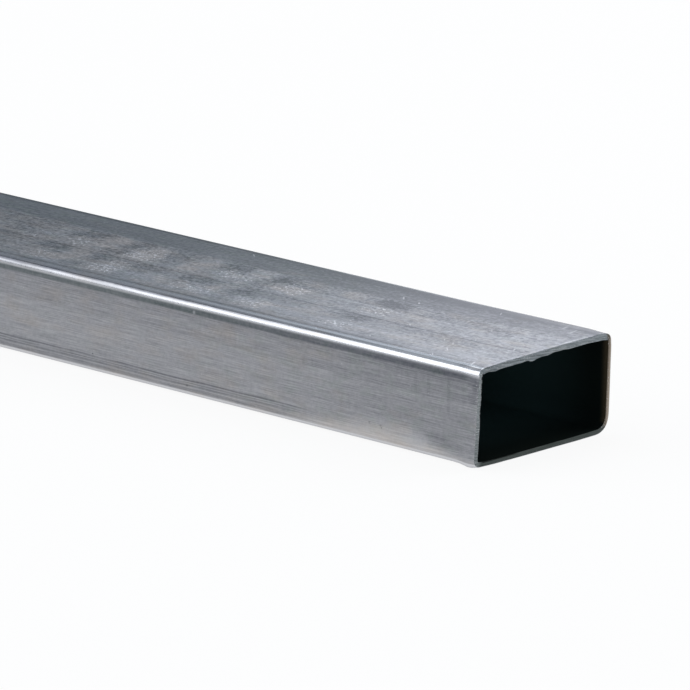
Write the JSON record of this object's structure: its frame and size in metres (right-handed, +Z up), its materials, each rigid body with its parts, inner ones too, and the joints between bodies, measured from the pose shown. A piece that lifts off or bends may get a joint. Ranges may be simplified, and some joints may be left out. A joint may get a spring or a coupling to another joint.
{
  "type": "rectangular steel tube",
  "caption": "Straight length of cold-rolled rectangular steel tube, a thin-walled box section with rounded bends and sawn open ends, for frames and brackets.",
  "frame": {"origin": "middle of the underside, halfway along the tube", "axes": "+X along the tube, +Y across its width, +Z up from the wide face that it lies on"},
  "size_m": [1, 0.06, 0.03],
  "materials": {
    "steel": "bright cold-rolled mill finish, lengthwise roll streaks, scuffed, with sawn ends and a dark bore"
  },
  "bodies": {
    "root": {"tube": "steel"}
  },
  "joints": []
}
